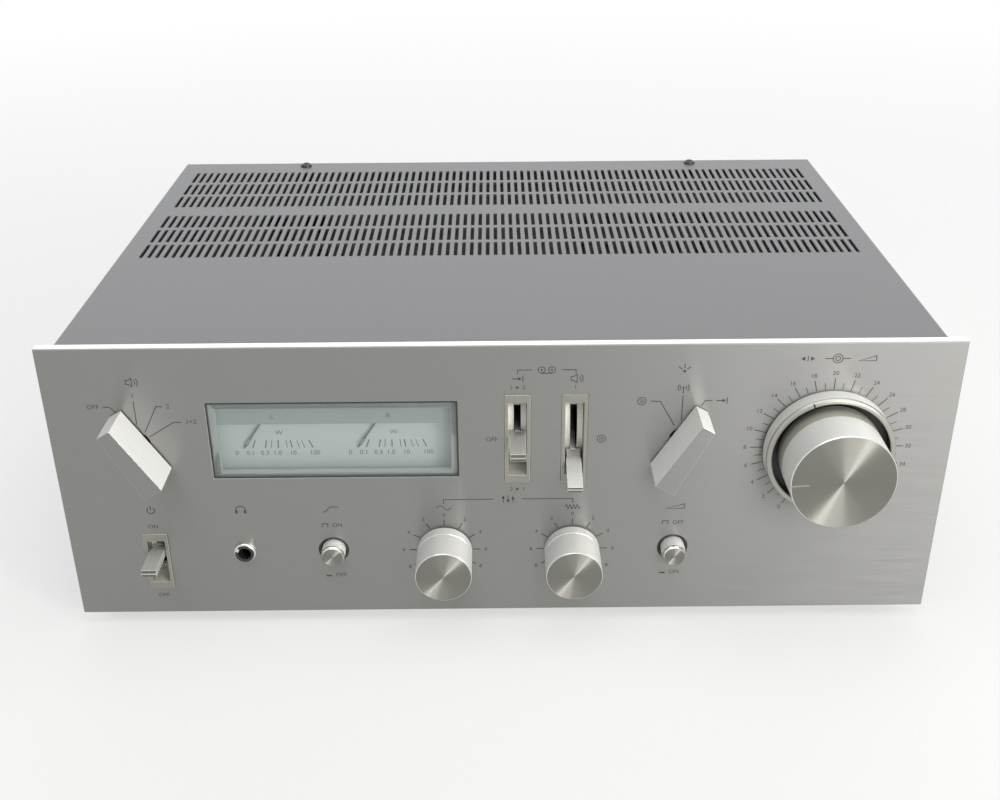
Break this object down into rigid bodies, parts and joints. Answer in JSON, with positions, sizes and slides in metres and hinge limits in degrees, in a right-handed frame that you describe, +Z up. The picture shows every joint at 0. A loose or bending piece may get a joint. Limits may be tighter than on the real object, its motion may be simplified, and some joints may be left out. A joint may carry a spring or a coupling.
{
  "type": "stereo amplifier",
  "caption": "Full-width stereo amplifier with a brushed aluminium front, needle power meter, bar and turned knobs, lever switches, push buttons and a vented steel cover.",
  "frame": {"origin": "bottom centre of the amplifier's box without its mains lead, with the feet on z = 0", "axes": "+X to the right of someone facing the front panel, +Y from the front panel to the rear, +Z up"},
  "size_m": [0.435, 0.4502, 0.159],
  "materials": {
    "panel_aluminium": "satin, brushed along the panel",
    "knob_aluminium": "turned, bright edges",
    "cover_paint": "satin, fine texture",
    "chassis_steel": "plated sheet",
    "foot_rubber": "matte",
    "screw_black": "blackened",
    "window_clear": "clear acrylic",
    "line_black": "matte",
    "meter_grey": "satin",
    "dial_pale": "matte, printed",
    "needle_black": "matte",
    "movement_grey": "satin",
    "lamp_glass": "clear",
    "shaft_steel": "turned",
    "phenolic": "satin",
    "can_steel": "plated",
    "nut_brass": "nickel plated",
    "collar_black": "satin",
    "bezel_champagne": "satin, anodised",
    "switch_dark": "matte",
    "jack_black": "gloss",
    "core_steel": "varnished laminations",
    "winding_copper": "taped winding",
    "sink_aluminium": "extruded",
    "board_green": "solder mask",
    "sleeve_blue": "shrink sleeve",
    "jack_nickel": "nickel plated",
    "socket_black": "satin",
    "lead_grey": "satin"
  },
  "bodies": {
    "case": {"front_panel": "panel_aluminium", "sub_panel": "chassis_steel", "chassis_pan": "chassis_steel", "rear_panel": "chassis_steel", "top_cover": "cover_paint", "feet": "foot_rubber", "case_screws": "screw_black", "meter_window": "window_clear", "meter_gasket": "line_black", "meter_housing": "meter_grey", "meter_dial": "dial_pale", "meter_movements": "movement_grey", "meter_lamps": "lamp_glass", "speakers_switch": "phenolic", "function_switch": "phenolic", "bass_pot": "can_steel", "treble_pot": "can_steel", "volume_pot": "can_steel", "control_nuts": "nut_brass", "button_switches": "switch_dark", "button_collars": "collar_black", "power_bezel": "bezel_champagne", "power_switch": "switch_dark", "tape_bezels": "bezel_champagne", "tape_switches": "switch_dark", "phones_jack": "jack_black", "phones_nut": "jack_nickel", "transformer_core": "core_steel", "transformer_coil": "winding_copper", "heat_sink": "sink_aluminium", "output_transistors": "jack_black", "main_board": "board_green", "board_posts": "nut_brass", "filter_capacitors": "sleeve_blue", "rca_jacks": "jack_nickel", "speaker_sockets": "socket_black", "strain_relief": "lead_grey", "lead_start": "lead_grey", "lead_coil": "lead_grey", "lead_tie": "line_black", "mains_plug": "lead_grey"},
    "speakers": {"speakers_knob": "knob_aluminium", "speakers_shaft": "shaft_steel"},
    "function": {"function_knob": "knob_aluminium", "function_shaft": "shaft_steel"},
    "bass": {"bass_knob": "knob_aluminium", "bass_shaft": "shaft_steel"},
    "treble": {"treble_knob": "knob_aluminium", "treble_shaft": "shaft_steel"},
    "volume": {"volume_knob": "knob_aluminium", "volume_shaft": "shaft_steel"},
    "balance": {"balance_ring": "knob_aluminium", "balance_sleeve": "shaft_steel"},
    "low_filter": {"low_filter_button": "knob_aluminium"},
    "loudness": {"loudness_button": "knob_aluminium"},
    "power": {"power_lever": "knob_aluminium"},
    "copy": {"copy_lever": "knob_aluminium"},
    "monitor": {"monitor_lever": "knob_aluminium"},
    "left_meter": {"left_needle": "needle_black"},
    "right_meter": {"right_needle": "needle_black"}
  },
  "joints": [
    {"name": "speakers_turn", "type": "hinge", "parent": "case", "child": "speakers", "pos_m": [-0.1746, -0.142, 0.108], "axis": [0, 1, 0], "range_deg": [0, 90]},
    {"name": "function_turn", "type": "hinge", "parent": "case", "child": "function", "pos_m": [0.0858, -0.142, 0.108], "axis": [0, 1, 0], "range_deg": [-60, 0]},
    {"name": "bass_turn", "type": "hinge", "parent": "case", "child": "bass", "pos_m": [-0.0293, -0.142, 0.0446], "axis": [0, 1, 0], "range_deg": [-150, 150]},
    {"name": "treble_turn", "type": "hinge", "parent": "case", "child": "treble", "pos_m": [0.0348, -0.142, 0.0446], "axis": [0, 1, 0], "range_deg": [-150, 150]},
    {"name": "volume_turn", "type": "hinge", "parent": "case", "child": "volume", "pos_m": [0.1571, -0.142, 0.1025], "axis": [0, 1, 0], "range_deg": [-55.6, 244.4]},
    {"name": "balance_turn", "type": "hinge", "parent": "case", "child": "balance", "pos_m": [0.1571, -0.142, 0.1025], "axis": [0, 1, 0], "range_deg": [-128, 172]},
    {"name": "low_filter_push", "type": "slide", "parent": "case", "child": "low_filter", "axis": [0, 1, 0], "range_m": [-0.0021, 0.0019], "stiffness_N_per_m": 300},
    {"name": "loudness_push", "type": "slide", "parent": "case", "child": "loudness", "axis": [0, 1, 0], "range_m": [0, 0.004], "stiffness_N_per_m": 300, "springref_m": -0.001},
    {"name": "power_swing", "type": "hinge", "parent": "case", "child": "power", "pos_m": [-0.1746, -0.106, 0.044], "axis": [1, 0, 0], "range_deg": [0, 21]},
    {"name": "copy_swing", "type": "hinge", "parent": "case", "child": "copy", "pos_m": [0.0074, -0.106, 0.108], "axis": [1, 0, 0], "range_deg": [-22, 22]},
    {"name": "monitor_swing", "type": "hinge", "parent": "case", "child": "monitor", "pos_m": [0.0348, -0.106, 0.108], "axis": [1, 0, 0], "range_deg": [-44, 0]},
    {"name": "left_needle_swing", "type": "hinge", "parent": "case", "child": "left_meter", "pos_m": [-0.1092, -0.1327, 0.1254], "axis": [0, -1, 0], "range_deg": [0, 68], "stiffness_Nm_per_rad": 0.0005, "springref_deg": -5.73},
    {"name": "right_needle_swing", "type": "hinge", "parent": "case", "child": "right_meter", "pos_m": [-0.0532, -0.1327, 0.1254], "axis": [0, -1, 0], "range_deg": [0, 68], "stiffness_Nm_per_rad": 0.0005, "springref_deg": -5.73}
  ]
}
